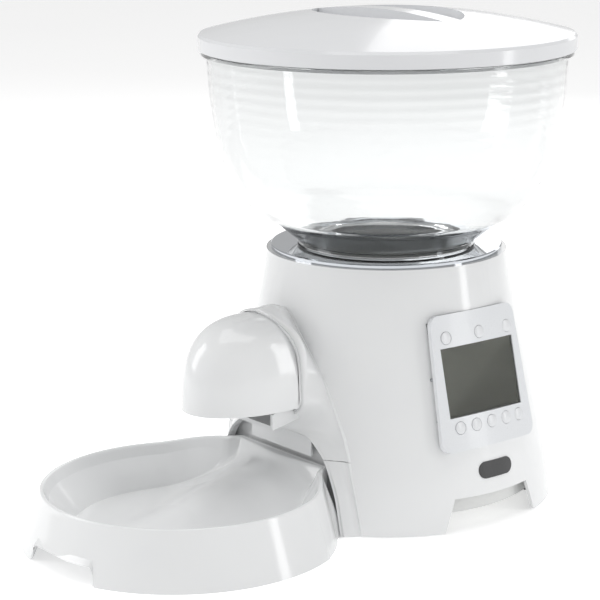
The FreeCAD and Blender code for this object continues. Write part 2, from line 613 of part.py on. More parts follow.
# hopper and lid, which lift off upwards
keep(turned_piece("hopper_bowl", [
    ("spigot_radius - hopper_wall", "spigot_low"), ("spigot_radius", "spigot_low"),
    ("spigot_radius", "shoulder_up + deck_thick + gap"), ("throat_radius", "shoulder_up + deck_thick + gap"),
    ("throat_radius", "throat_up"), ("funnel_radius", "funnel_up"),
    ("belly_radius", "belly_up", "via"), ("shelf_radius", "shelf_up"),
    ("cheek_radius", "cheek_up", "via"), ("rim_radius", "rim_up"), ("flange_radius", "rim_up"),
    ("flange_radius", "rim_up + flange_thick"), ("rim_radius - hopper_wall", "rim_up + flange_thick"),
    ("rim_radius - hopper_wall", "rim_up"), ("cheek_radius - hopper_wall", "cheek_up", "via"),
    ("shelf_radius - hopper_wall", "shelf_up + 0.6"),
    ("belly_radius - hopper_wall + 0.3", "belly_up + 1.8", "via"),
    ("funnel_radius - hopper_wall + 0.4", "funnel_up + 2.4"), ("spigot_radius - hopper_wall", "throat_up + 1")]))

CROWN_SPHERE = "((lid_radius - 1.5)^2 + (lid_crown - lid_edge)^2) / (2 * (lid_crown - lid_edge))"


def crown_at(out, inset):
    """Height of the lid's crown at a distance out from its axis, on a sphere drawn in by inset."""
    return f"lid_crown - {CROWN_SPHERE} + sqrt(({CROWN_SPHERE} - {inset})^2 - ({out})^2)"


cap = new_body("LidTurned")
turn(cap, [
    ("0", "lid_crown"), ("lid_radius / 2", crown_at("lid_radius / 2", "0"), "via"),
    ("lid_radius - 1.5", "lid_edge"), ("lid_radius", "lid_edge - 2"), ("lid_radius", "lid_low"),
    ("lid_radius - lid_wall", "lid_low"),
    ("lid_radius - lid_wall", crown_at("lid_radius - lid_wall", "lid_wall")),
    ("lid_radius / 2", crown_at("lid_radius / 2", "lid_wall"), "via"), ("0", "lid_crown - lid_wall")])
plug = new_body("LidPlug")
turn(plug, ring_points("plug_radius - lid_wall", "plug_radius", "plug_low", "lid_edge + 0.6"))


def lens(name, grow, low, height, side):
    """A recess's outline: straight along the grip bar, bowed outwards."""
    body = new_body(name)
    pad(body, "XY_Plane", [
        ("-grip_reach - " + grow, f"{side}(grip_half - {grow})"),
        ("grip_reach + " + grow, f"{side}(grip_half - {grow})"),
        ("0", f"{side}(grip_width + {grow})", "via")], height)
    return place(body, z=low)


lens_low = "lid_crown - grip_deep"
pans = [lens("Pan" + name, "lid_wall", lens_low + " - lid_wall", "grip_deep", side)
        for name, side in (("Left", "-"), ("Right", ""))]
scoops = [lens("Scoop" + name, "0", lens_low, "2 * grip_deep", side)
          for name, side in (("Left", "-"), ("Right", ""))]
crown_limit = new_body("CrownLimit")
turn(crown_limit, [
    ("0", "lid_crown - 1"), ("lid_radius / 2", crown_at("lid_radius / 2", "1"), "via"),
    ("plug_radius", crown_at("plug_radius", "1")), ("0", crown_at("plug_radius", "1"))])
lid = cut("lid_cap", fuse("LidForm", [cap, plug, common("PanLimit", [fuse("Pans", pans), crown_limit])]),
          fuse("Scoops", scoops))
keep(place(lid, y="tower_y"))
keep(turned_piece("lid_seal", ring_points("plug_radius + 1", "lid_radius - lid_wall",
                                          "rim_up + flange_thick + gap", "lid_low + 3")))

# base with the battery bay
floor = new_body("BaseTurned")
turn(floor, [
    ("0", "base_low"), ("base_radius", "base_low"), ("base_radius", "base_rim"),
    ("base_radius - base_thick", "base_rim"), ("base_radius - base_thick", "base_low + base_thick"),
    ("0", "base_low + base_thick")])
pad(floor, "YZ_Plane", [
    ("wall + 0.5 - front_low", "0"), ("wall + 0.5 - front_high", "front_top"),
    ("-far", "front_top"), ("-far", "0")], "far", middle=True, cut=True)
PADS = [("pad_out", "-pad_front"), ("-pad_out", "-pad_front"), ("pad_back", "pad_back"),
        ("-pad_back", "pad_back")]
bosses = [cylinder(f"PadBoss{index}", x, y, "pad_thick", "pad_boss", "base_low - pad_thick + 1")
          for index, (x, y) in enumerate(PADS)]
rails = []
for index, left in enumerate(("door_half + 0.5", "-rail_out")):
    rails.append(box(f"Rail{index}", left, "-tray_front", "rail_low", "rail_out - door_half - 0.5",
                     "tray_front - tray_back", "base_low - rail_low + 1"))
for index, left in enumerate(("door_half - 2.5", "-rail_out")):
    rails.append(box(f"RailLip{index}", left, "-tray_front", "rail_low", "rail_out - door_half + 2.5",
                     "tray_front - tray_back", "base_low - 2 * gap - door_thick - rail_low"))
bay_inner = "tray_half - tray_wall"
base_holes = [cylinder(f"BaseHole{index}", x, y, "base_low - 1", "1.6", "6")
              for index, (x, y) in enumerate(POSTS)]
base_holes += [cylinder(f"PostRoom{index}", x, y, "base_low + base_thick", "post_radius + 2 * gap", "base_rim")
               for index, (x, y) in enumerate(POSTS)]
base_holes.append(box("TrayCorner", "-tray_half - gap", "-tray_front - gap", "base_low + base_thick",
                      "2 * (tray_half + gap)", "tray_front - tray_back", "base_rim"))
base = cut("base_plate", fuse("BaseForm", [floor] + bosses + rails), fuse("BaseHoles", base_holes + [
    box("BayMouth", f"-({bay_inner})", "tray_wall - tray_front", "base_low - 1", f"2 * ({bay_inner})",
        "tray_front - tray_back - 2 * tray_wall", "base_thick + 2")]))
keep(place(base, y="tower_y"))
tray_low = "base_low + base_thick"
tray = cut("battery_tray",
           box("TrayForm", "-tray_half", "-tray_front", tray_low, "2 * tray_half",
               "tray_front - tray_back", f"tray_top - ({tray_low})"),
           box("TrayRoom", f"-({bay_inner})", "tray_wall - tray_front", tray_low, f"2 * ({bay_inner})",
               "tray_front - tray_back - 2 * tray_wall", f"tray_top - tray_wall - ({tray_low})"))
keep(place(tray, y="tower_y"))
keep(place(doc.addObject("Part::Box", "battery_door"), "-door_half", "tower_y - tray_front + 0.5",
           "base_low - gap - door_thick"))
bind(pieces[-1], Length="2 * door_half", Width="tray_front - tray_back - 1", Height="door_thick")


def group(label, shapes):
    """Several equal, separate solids in one node."""
    return keep(feature(label, Part.makeCompound(shapes)))


def pin(x, y, z, radius, height, way=UP):
    return Part.makeCylinder(radius, height, V(x, y, z), way)


def screws(label, spots, head_low, head_high, tip, head=3, shank=1.4):
    """Upright screws: a head between two heights and a shank that runs from it to the tip."""
    shapes = []
    for x, y in spots:
        start = head_high if tip > head_high else tip
        body = pin(x, y, head_low, head, head_high - head_low).fuse(
            pin(x, y, start, shank, abs(tip - head_high) if tip > head_high else head_low - tip))
        slot = Part.makeBox(head * 1.2, 0.6, 0.8, V(x - head * 0.6, y - 0.3,
                            head_low - 0.1 if tip > head_high else head_high - 0.7))
        shapes.append(body.cut(slot))
    return group(label, shapes)


def spots(pairs):
    return [(number(x), number(y)) for x, y in pairs]


def polar(pairs):
    return [(reach * math.cos(math.radians(angle)), reach * math.sin(math.radians(angle)))
            for reach, angle in pairs]


cell = number("cell_radius")
cell_y = -number("(tray_front + tray_back) / 2") - number("cell_length") / 2
cell_z = number(tray_low) + cell + 0.2
cell_x = [number("cell_pitch") * step for step in (-1.5, -0.5, 0.5, 1.5)]
group("batteries", [pin(x, cell_y, cell_z, cell, number("cell_length") - 2, V(0, 1, 0)).fuse(
    pin(x, cell_y + number("cell_length") - 2, cell_z, 4, 1.4, V(0, 1, 0))) for x in cell_x])
group("battery_contacts", [
    Part.makeBox(12, 0.5, 12, V(x - 6, y, cell_z - 6)) for x in cell_x
    for y in (-number("tray_front - tray_wall"), -number("tray_back + tray_wall") - 0.5)])
group("foot_pads", [pin(x, y, 0, number("pad_radius"), number("pad_thick")) for x, y in spots(PADS)])
screws("base_screws", spots(POSTS), number("base_low") - 2.2, number("base_low"), 27)
screws("bracket_screws", spots(STANDS), number("bracket_low") - 2, number("bracket_low"),
       number("bracket_low") + 12)
top_of_bracket = number("bracket_low + bracket_thick")
screws("motor_screws", spots(MOTOR_SCREWS), top_of_bracket, top_of_bracket + 1.8,
       number("bracket_low") - 5, head=2.6)
cup_flange_low = number("cup_top - wall")
screws("cup_screws", polar(CUP_SCREWS), cup_flange_low - 2, cup_flange_low, number("cup_top"), head=2.6)

# panel: plate, screen, circuit board, switches and eight buttons
BUTTONS = {"top_left": ("-28.5", "top_row"), "top_middle": ("2", "top_row"), "top_right": ("30.5", "top_row"),
           "low_first": ("-27", "-low_row"), "low_second": ("-12.5", "-low_row"), "low_third": ("2", "-low_row"),
           "low_fourth": ("16.5", "-low_row"), "low_fifth": ("30", "-low_row")}
bores = [panel_pin("Bore" + name, x, y, "panel_deep + 2", "panel_deep + 6", "button_bore")
         for name, (x, y) in BUTTONS.items()]
plate_holes = [panel_pin(f"PlateHole{index}", x, up, "panel_deep + 2", "4.4", "1.15")
               for index, (x, up) in enumerate(PANEL_SCREWS)]
plate = cut("panel_plate", panel_block("PanelPlate", "0", "panel_deep", "0"), fuse("PanelHoles",
            bores + plate_holes + [panel_box("Screen", "-screen_half", "screen_half", "-screen_drop",
                                             "screen_high", "panel_deep + 2", "-5")]))
keep(place(plate, y="tower_y"))
glass_low = "screen_sunk + screen_glass"
window = panel_box("lcd_window", "0.2 - screen_half", "screen_half - 0.2", "0.2 - screen_drop",
                   "screen_high - 0.2", glass_low, "screen_sunk")
keep(window)
module = fuse("lcd_module", [
    panel_box("ModuleGlass", "0.4 - screen_half", "screen_half - 0.4", "0.4 - screen_drop",
              "screen_high - 0.4", "panel_deep + 1", glass_low),
    panel_box("ModuleFrame", "-screen_half - 2", "screen_half + 2", "-screen_drop - 1.1",
              "screen_high + 0.7", "panel_deep + 3", "panel_deep")])
keep(place(module, y="tower_y"))
keep(panel_box("circuit_board", "-37.5", "37.5", "-43", "43", "board_deep + board_thick", "board_deep"))
for item in (window, pieces[-1]):
    item.Placement.Base.y += number("tower_y")


def on_face(shape, x=0, y=0, z=0):
    moved = shape.copy()
    moved.Placement = panel_frame(x, y, z)
    return moved


def bulge(x):
    """Depth of the panel's curved face below its middle, at x across it."""
    return x * x / (2 * number("panel_round"))


group("button_switches", [
    on_face(Part.makeBox(6, 6, 2.1, V(-3, -3, 0)), number(x), number(y), -number("board_deep"))
    for x, y in BUTTONS.values()])
group("panel_screws", [
    on_face(pin(0, 0, 0, 2.2, 1.3).fuse(pin(0, 0, 1.3, 1.1, 9.4)), number(x), number(y), -14.9)
    for x, y in PANEL_SCREWS])
for name, (x, y) in BUTTONS.items():
    button = new_body("button_" + name)
    top = f"button_proud - ({x}) * ({x}) / (2 * panel_round)"
    turn(button, [
        ("0", "-panel_deep - 2.1"), ("button_flange", "-panel_deep - 2.1"),
        ("button_flange", "-panel_deep - 0.4"), ("button_radius", "-panel_deep - 0.4"),
        ("button_radius", top + " - 0.5"), ("button_radius * 0.6", top + " - 0.14", "via"),
        ("button_flat", top), ("0", top)])
    on_panel(button, x, y)
    button.Placement.Base.y += number("tower_y")
    keep(button)

# badge: a plain bar under the panel that follows the shell
bar = new_body("BadgeBar")
pad(bar, "YZ_Plane", [
    ("-badge_half + badge_high", "-badge_high"), ("badge_half - badge_high", "-badge_high"),
    ("badge_half", "0", "via"), ("badge_half - badge_high", "badge_high"),
    ("-badge_half + badge_high", "badge_high"), ("-badge_half", "0", "via")], "far")
place(bar, y="2", z="badge_up")
badge = cut("badge", common("BadgeForm", [bar, tower_block("BadgeLimit", "-badge_thick")]),
            tower_block("BadgeSeat", "0"))
keep(place(badge, y="tower_y"))

doc.recompute()
for item in doc.Objects:
    if "Invalid" in item.State or "Error" in item.State:
        raise RuntimeError(f"{item.Name} failed to recompute: {item.State}")
os.makedirs("parts", exist_ok=True)
for item in pieces:
    if item.Shape.isNull() or not item.Shape.isValid():
        raise RuntimeError(f"{item.Label} has no valid shape")
    item.Shape.exportStep(f"parts/{item.Label}.step")
    print(item.Label, len(item.Shape.Solids), "solid(s),", round(item.Shape.Volume / 1000, 1), "cm3")
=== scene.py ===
import json
import math

import bmesh
import bpy
from mathutils import Matrix, Vector


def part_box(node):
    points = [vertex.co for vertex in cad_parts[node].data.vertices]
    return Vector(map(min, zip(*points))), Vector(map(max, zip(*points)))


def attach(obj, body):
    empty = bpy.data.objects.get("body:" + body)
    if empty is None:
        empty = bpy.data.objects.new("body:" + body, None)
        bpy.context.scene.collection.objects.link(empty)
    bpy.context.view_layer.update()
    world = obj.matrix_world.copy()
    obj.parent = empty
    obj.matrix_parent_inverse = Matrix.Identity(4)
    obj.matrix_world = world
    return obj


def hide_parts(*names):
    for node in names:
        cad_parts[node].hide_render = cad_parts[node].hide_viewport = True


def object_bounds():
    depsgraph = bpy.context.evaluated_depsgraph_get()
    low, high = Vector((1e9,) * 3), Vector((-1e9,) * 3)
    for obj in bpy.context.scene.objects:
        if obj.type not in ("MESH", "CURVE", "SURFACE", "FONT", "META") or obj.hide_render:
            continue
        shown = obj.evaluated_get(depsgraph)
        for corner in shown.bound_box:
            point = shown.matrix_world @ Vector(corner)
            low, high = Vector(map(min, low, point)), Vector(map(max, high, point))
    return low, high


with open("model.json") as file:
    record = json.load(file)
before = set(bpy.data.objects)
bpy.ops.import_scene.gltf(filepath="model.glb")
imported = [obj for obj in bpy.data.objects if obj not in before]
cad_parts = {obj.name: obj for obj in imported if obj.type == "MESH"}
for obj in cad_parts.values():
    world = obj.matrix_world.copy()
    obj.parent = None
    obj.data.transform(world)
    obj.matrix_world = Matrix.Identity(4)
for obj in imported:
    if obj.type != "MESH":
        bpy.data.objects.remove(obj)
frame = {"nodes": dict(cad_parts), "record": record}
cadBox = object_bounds()
mm = 0.001
deckLow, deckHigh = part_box("deck_plate")
towerY = (deckLow.y + deckHigh.y) / 2    # the tower, hopper and lid turn round this line
print("frame loaded")


def hexColor(code):
    # an sRGB hex colour as linear red, green, blue and alpha
    channels = [int(code[at:at + 2], 16) / 255 for at in (1, 3, 5)]
    return [c / 12.92 if c <= 0.04045 else ((c + 0.055) / 1.055) ** 2.4 for c in channels] + [1]


def addNode(tree, kind, settings=None, links=None):
    node = tree.nodes.new(kind)
    for name, value in (settings or {}).items():
        if isinstance(name, int) or name in node.inputs:
            node.inputs[name].default_value = value
        else:
            setattr(node, name, value)
    for name, socket in (links or {}).items():
        tree.links.new(socket, node.inputs[name])
    return node


def startMaterial(name, settings):
    material = bpy.data.materials.new(name)
    material.use_nodes = True
    tree = material.node_tree
    shader = tree.nodes["Principled BSDF"]
    for socket, value in settings.items():
        shader.inputs[socket].default_value = value
    place = addNode(tree, "ShaderNodeTexCoord").outputs["Object"]
    return material, tree, shader, place


def surfaceFinish(name, look):
    # two close colours in soft patches, a roughness that wanders, and a fine relief
    material, tree, shader, place = startMaterial(name, {
        "Metallic": look.get("metallic", 0.0), "IOR": look.get("ior", 1.5),
        "Coat Weight": look.get("coat", 0.0), "Coat Roughness": look.get("coatRoughness", 0.03),
        "Transmission Weight": look.get("transmission", 0.0),
        "Subsurface Weight": look.get("subsurface", 0.0), "Subsurface Radius": (1.0, 1.0, 1.0),
        "Subsurface Scale": 1.5 * mm})
    patches = addNode(tree, "ShaderNodeTexNoise", {"Scale": 1 / (look["patchMm"] * mm), "Detail": 3.0},
                      {"Vector": place})
    tint = addNode(tree, "ShaderNodeMix", {"data_type": "RGBA", 6: hexColor(look["color"]),
                                           7: hexColor(look["tint"])}, {0: patches.outputs[0]})
    grain = addNode(tree, "ShaderNodeTexNoise", {"Scale": 1 / (look["grainMm"] * mm), "Detail": 4.0,
                                                 "Roughness": 0.6}, {"Vector": place})
    rough = addNode(tree, "ShaderNodeMapRange", {"From Min": 0.3, "From Max": 0.7,
                                                 "To Min": look["rough"][0], "To Max": look["rough"][1]},
                    {"Value": patches.outputs[0]})
    relief = addNode(tree, "ShaderNodeBump", {"Strength": look.get("strength", 0.5),
                                              "Distance": look["reliefMm"] * mm},
                     {"Height": grain.outputs[0]})
    tree.links.new(tint.outputs[2], shader.inputs["Base Color"])
    tree.links.new(rough.outputs[0], shader.inputs["Roughness"])
    tree.links.new(relief.outputs[0], shader.inputs["Normal"])
    return material


finishes = {
    # glossy injection-moulded ABS: near white, with a mould's faint ripple in its reflections
    "white_abs": ("whiteMouldedAbs", {
        "color": "#eceded", "tint": "#e8e9ea", "patchMm": 38, "rough": (0.10, 0.16), "ior": 1.53,
        "grainMm": 5.5, "reliefMm": 0.02, "strength": 0.25, "coat": 0.15}),
    # the lid's moulding is a greyer batch and a little softer in shine
    "lid_abs": ("greyWhiteMouldedAbs", {
        "color": "#dedfe1", "tint": "#dadbdd", "patchMm": 45, "rough": (0.12, 0.2), "ior": 1.53,
        "grainMm": 6, "reliefMm": 0.02, "strength": 0.25, "coat": 0.15}),
    # thin clear styrene-acrylonitrile: water clear, slightly wavy
    "clear_hopper": ("clearMouldedSan", {
        "color": "#f5f6f6", "tint": "#f3f4f4", "patchMm": 60, "rough": (0.0, 0.02), "ior": 1.5,
        "grainMm": 16, "reliefMm": 0.05, "strength": 0.3, "transmission": 1.0}),
    # bright chromium over moulded ABS: a mirror with a trace of haze
    "chrome_deck": ("chromePlatedAbs", {
        "color": "#c9ccd0", "tint": "#bfc3c8", "patchMm": 30, "rough": (0.03, 0.08), "metallic": 1.0,
        "grainMm": 4, "reliefMm": 0.01, "strength": 0.2}),
    # silver paint on ABS: satin, with metal flakes
    "panel_grey": ("silverPaintedAbs", {
        "color": "#e4e6e8", "tint": "#dee0e3", "patchMm": 1.2, "rough": (0.26, 0.36), "metallic": 0.0,
        "grainMm": 0.8, "reliefMm": 0.01, "strength": 0.3, "coat": 0.2}),
    # key caps: the shell's plastic in small, with finger gloss
    "key_white": ("silverMouldedKeycap", {
        "color": "#e3e4e6", "tint": "#dcdee0", "patchMm": 4, "rough": (0.2, 0.3), "ior": 1.5,
        "grainMm": 1.2, "reliefMm": 0.01, "strength": 0.3, "coat": 0.3}),
    # clear acrylic window over the screen
    "screen_clear": ("clearAcrylicWindow", {
        "color": "#fbfcfb", "tint": "#f8faf9", "patchMm": 20, "rough": (0.01, 0.03), "ior": 1.49,
        "grainMm": 9, "reliefMm": 0.01, "strength": 0.2, "transmission": 1.0}),
    # reflective liquid-crystal cell: matt grey-green polariser
    "screen_cell": ("greyGreenCrystalCell", {
        "color": "#5b5c4e", "tint": "#555648", "patchMm": 16, "rough": (0.3, 0.4),
        "grainMm": 0.5, "reliefMm": 0.01, "strength": 0.2}),
    # epoxy circuit board under green solder resist
    "board_green": ("greenSolderResist", {
        "color": "#1d5b34", "tint": "#174a2b", "patchMm": 2.2, "rough": (0.3, 0.45),
        "grainMm": 0.9, "reliefMm": 0.03, "strength": 0.6, "coat": 0.2}),
    # unpolished inner mouldings: the same ABS with a spark-eroded texture
    "inner_white": ("sparkTexturedAbs", {
        "color": "#e2e3e2", "tint": "#dbdcda", "patchMm": 25, "rough": (0.4, 0.5),
        "grainMm": 0.6, "reliefMm": 0.04, "strength": 0.5}),
    # nylon wheel: waxy and slightly translucent
    "wheel_nylon": ("naturalNylon", {
        "color": "#e9e4d6", "tint": "#e2dccb", "patchMm": 14, "rough": (0.35, 0.45),
        "grainMm": 1.5, "reliefMm": 0.02, "strength": 0.4, "subsurface": 0.2}),
    # acetal gears: dense, slick, off-white
    "gear_acetal": ("naturalAcetal", {
        "color": "#eeebe2", "tint": "#e6e2d7", "patchMm": 6, "rough": (0.25, 0.35),
        "grainMm": 0.9, "reliefMm": 0.015, "strength": 0.4, "subsurface": 0.1}),
    # zinc-plated steel screws, shafts and motor case
    "steel": ("zincPlatedSteel", {
        "color": "#b9bcc0", "tint": "#a7aaae", "patchMm": 3, "rough": (0.22, 0.38), "metallic": 1.0,
        "grainMm": 0.5, "reliefMm": 0.01, "strength": 0.5}),
    # sintered bronze and brass bushes and contacts
    "brass": ("sinteredBronze", {
        "color": "#b8935a", "tint": "#a88350", "patchMm": 2, "rough": (0.3, 0.45), "metallic": 1.0,
        "grainMm": 0.4, "reliefMm": 0.02, "strength": 0.5}),
    # printed shrink film round the cells, left plain
    "cell_jacket": ("blackCellFilm", {
        "color": "#26282b", "tint": "#1e2022", "patchMm": 10, "rough": (0.25, 0.35),
        "grainMm": 2.0, "reliefMm": 0.02, "strength": 0.4, "coat": 0.3}),
    # moulded rubber feet: matt, with a dusty bloom
    "pad_rubber": ("greyMouldedRubber", {
        "color": "#4a4b4c", "tint": "#565758", "patchMm": 3, "rough": (0.7, 0.9),
        "grainMm": 0.4, "reliefMm": 0.04, "strength": 0.6}),
    # translucent silicone seal inside the lid
    "seal_rubber": ("translucentSilicone", {
        "color": "#d5d7d8", "tint": "#cdd0d1", "patchMm": 8, "rough": (0.4, 0.5),
        "grainMm": 0.8, "reliefMm": 0.02, "strength": 0.4, "subsurface": 0.3}),
    # gloss black enamelled badge bar
    "badge_dark": ("blackGlossEnamel", {
        "color": "#17181a", "tint": "#1c1d1f", "patchMm": 8, "rough": (0.08, 0.16),
        "grainMm": 2.0, "reliefMm": 0.01, "strength": 0.3, "coat": 0.5}),
}
materialOf = {slot: surfaceFinish(*finish) for slot, finish in finishes.items()}
slotOf = {part["node"]: part["material_slot"] for part in frame["record"]["subparts"]}
bodyOf = {node: body for body, nodes in frame["record"]["behaviour"]["bodies"].items() for node in nodes}
for node, carried in frame["nodes"].items():
    carried.data.materials.clear()
    carried.data.materials.append(materialOf[slotOf[node]])
print("materials made:", len(materialOf))


def finishPiece(work, name, standsFor, material=None):
    mesh = bpy.data.meshes.new(name)
    work.to_mesh(mesh)
    work.free()
    piece = bpy.data.objects.new(name, mesh)
    bpy.context.scene.collection.objects.link(piece)
    mesh.materials.append(material or materialOf[slotOf[standsFor]])
    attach(piece, bodyOf[standsFor])
    return piece


def markSmooth(work, angle):
    for face in work.faces:
        face.smooth = True
    for edge in work.edges:
        edge.smooth = len(edge.link_faces) == 2 and edge.calc_face_angle(0) < math.radians(angle)


def shellFrom(node, name, sharpAngle=30):
    # a moulding whose shape the frame already has: its triangles joined and its flats made whole
    work = bmesh.new()
    work.from_mesh(frame["nodes"][node].data)
    bmesh.ops.remove_doubles(work, verts=work.verts, dist=0.01 * mm)
    bmesh.ops.dissolve_limit(work, angle_limit=math.radians(0.3), verts=work.verts, edges=work.edges)
    markSmooth(work, sharpAngle)
    piece = finishPiece(work, name, node)
    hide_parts(node)
    weighted = piece.modifiers.new("normals", "WEIGHTED_NORMAL")
    weighted.keep_sharp = True


def smoothLine(points, perSpan):
    # the points joined by a soft curve through them all
    line = []
    for index in range(len(points) - 1):
        before, start, end, after = (points[min(max(index + step, 0), len(points) - 1)]
                                     for step in (-1, 0, 1, 2))
        for part in range(perSpan):
            t = part / perSpan
            line.append([0.5 * (2 * b + (c - a) * t + (2 * a - 5 * b + 4 * c - d) * t * t
                                + (3 * b - a - 3 * c + d) * t ** 3)
                         for a, b, c, d in zip(before, start, end, after)])
    return line + [list(points[-1])]


def turned(outline, steps):
    # a closed outline of (radius, height) in millimetres, spun round the tower's line
    work = bmesh.new()
    verts = [work.verts.new((radius * mm, towerY, height * mm)) for radius, height in outline]
    edges = [work.edges.new((verts[index - 1], verts[index])) for index in range(len(verts))]
    bmesh.ops.spin(work, geom=verts + edges, cent=(0, towerY, 0), axis=(0, 0, 1),
                   angle=2 * math.pi, steps=steps, use_merge=True)
    bmesh.ops.remove_doubles(work, verts=work.verts, dist=0.005 * mm)
    bmesh.ops.recalc_face_normals(work, faces=work.faces)
    return work


# the mouldings that keep the frame's own shape
shells = {"body_shell": "towerShell", "lid_cap": "lidCap", "deck_plate": "chromeDeck",
          "panel_plate": "panelFace", "lcd_window": "screenWindow", "badge": "badgeBar"}
for node, name in shells.items():
    shellFrom(node, name)
for node in frame["nodes"]:
    if node.startswith("button_") and node != "button_switches":
        shellFrom(node, "keycap_" + node[len("button_"):])
print("shells made:", len(shells))


def softStep(low, high, value):
    # 0 below one value and 1 above another, with a soft climb between them
    t = min(max((value - low) / (high - low), 0), 1)
    return t * t * (3 - 2 * t)


def readLine(table, at):
    # the value of a table of (place, value) rows at one place, on a straight line between its rows
    for (left, start), (right, end) in zip(table, table[1:]):
        if at <= right:
            return start + (end - start) * (at - left) / (right - left)
    return table[-1][1]


def extrudeLine(work, verts, edges):
    # the edges extruded once: the new vertices in the order of the old, and the new edges
    drawn = bmesh.ops.extrude_edge_only(work, edges=edges)["geom"]
    edges = [item for item in drawn if isinstance(item, bmesh.types.BMEdge)]
    fresh = [item for item in drawn if isinstance(item, bmesh.types.BMVert)]
    place = {old: spot for spot, old in enumerate(verts)}
    linked = {vert: next(e.other_vert(vert) for e in vert.link_edges if e not in edges) for vert in fresh}
    return sorted(fresh, key=lambda vert: place[linked[vert]]), edges


def ringSkin(rings):
    # one ring of edges drawn out again and again, each new ring laid on its own points, both ends closed
    work = bmesh.new()
    bmesh.ops.create_circle(work, segments=len(rings[0]), radius=1)
    work.verts.ensure_lookup_table()
    ring = list(work.verts)
    edges = list(work.edges)
    first = edges
    for vert, point in zip(ring, rings[0]):
        vert.co = Vector(point) * mm
    for points in rings[1:]:
        ring, edges = extrudeLine(work, ring, edges)
        for vert, point in zip(ring, points):
            vert.co = Vector(point) * mm
    for loop in (first, edges):
        bmesh.ops.contextual_create(work, geom=loop)
    return work


def faceUpwards(work):
    # normals turned the same way, and outwards, judged by the highest face
    bmesh.ops.recalc_face_normals(work, faces=work.faces)
    probe = max(work.faces, key=lambda face: face.calc_center_median().z)
    if probe.normal.z < 0:
        bmesh.ops.reverse_faces(work, faces=work.faces)


def drawOut(rows):
    # an open line of edges drawn out row by row, with places given from the tower's line
    work = bmesh.new()
    verts = [work.verts.new((0, 0, step)) for step in range(len(rows[0]))]
    edges = [work.edges.new(pair) for pair in zip(verts, verts[1:])]
    for index, row in enumerate(rows):
        if index:
            verts, edges = extrudeLine(work, verts, edges)
        for vert, (side, back, up) in zip(verts, row):
            vert.co = Vector((side, back + towerY / mm, up)) * mm
    return work


def giveWall(piece, thickness):
    # a moulding's wall, grown inwards from its outer face
    wall = piece.modifiers.new("wall", "SOLIDIFY")
    wall.thickness = thickness * mm
    wall.offset = -1


# the bowl: a round dish whose back is cut off for the neck, with a ridge that parts the food
bowl = {
    "steps": 400, "centre": -189.0, "rim": 100.6, "foot": 114.0, "rimUp": 40.4, "backUp": 46.0, "floor": 11.0,
    "lip": 3.0, "skin": 2.5, "wallRun": 19.0, "wallRings": 22, "floorRings": 46, "sharp": 42,
    "rimTurn": (24, 56),    # degrees behind the sides over which the rim climbs to its height at the neck
    "rimNeck": [(50, 91.5), (54.5, 84), (58, 80), (66, 74), (80, 62), (88, 50), (92.7, 39)],
    "footNeck": [(71.8, 91.2), (72.3, 84), (75, 80), (88, 68), (101, 51.5)],
    "notch": (-104, -67), "notchUp": 12.5, "notchTurn": 2.0,
    "ridgeUp": [(91, 33), (80, 31.5), (60, 27), (30, 19), (0, 11), (-40, 3.5), (-66, 0)],
    "ridgeHalf": [(-70, 15), (-20, 23), (40, 42), (70, 58), (92, 78)],
}


def bowlOutline(circle, neck, angle):
    # the plan's reach from the bowl's centre: a circle, or the neck's corners behind it
    turn = math.degrees(math.atan2(math.sin(angle), abs(math.cos(angle))))
    corners = sorted((math.degrees(math.atan2(back, side)), math.hypot(side, back)) for side, back in neck)
    if turn < corners[0][0]:
        return circle
    if turn > corners[-1][0]:
        return neck[0][1] / math.sin(math.radians(turn))
    return readLine(corners, turn)


def bowlRimUp(shape, angle):
    # the rim's height, which climbs towards the neck
    turn = math.degrees(math.atan2(math.sin(angle), abs(math.cos(angle))))
    return shape["rimUp"] + (shape["backUp"] - shape["rimUp"]) * softStep(*shape["rimTurn"], turn)


def bowlInside(shape, side, back, depth, rimUp):
    # height of the inside at a place, with depth the distance in from the rim
    wall = (rimUp - 1 - shape["floor"]) * max(0, 1 - depth / shape["wallRun"]) ** 1.5
    crest = readLine(sorted(shape["ridgeUp"]), max(back, -66))
    ridge = crest * math.exp(-(side / readLine(shape["ridgeHalf"], max(back, -70))) ** 2)
    height = shape["floor"] + (wall ** 2.5 + max(ridge, 0) ** 2.5) ** 0.4
    return min(height, (height + 3 * rimUp - 3) / 4, rimUp - 0.6)    # eased off below the rim


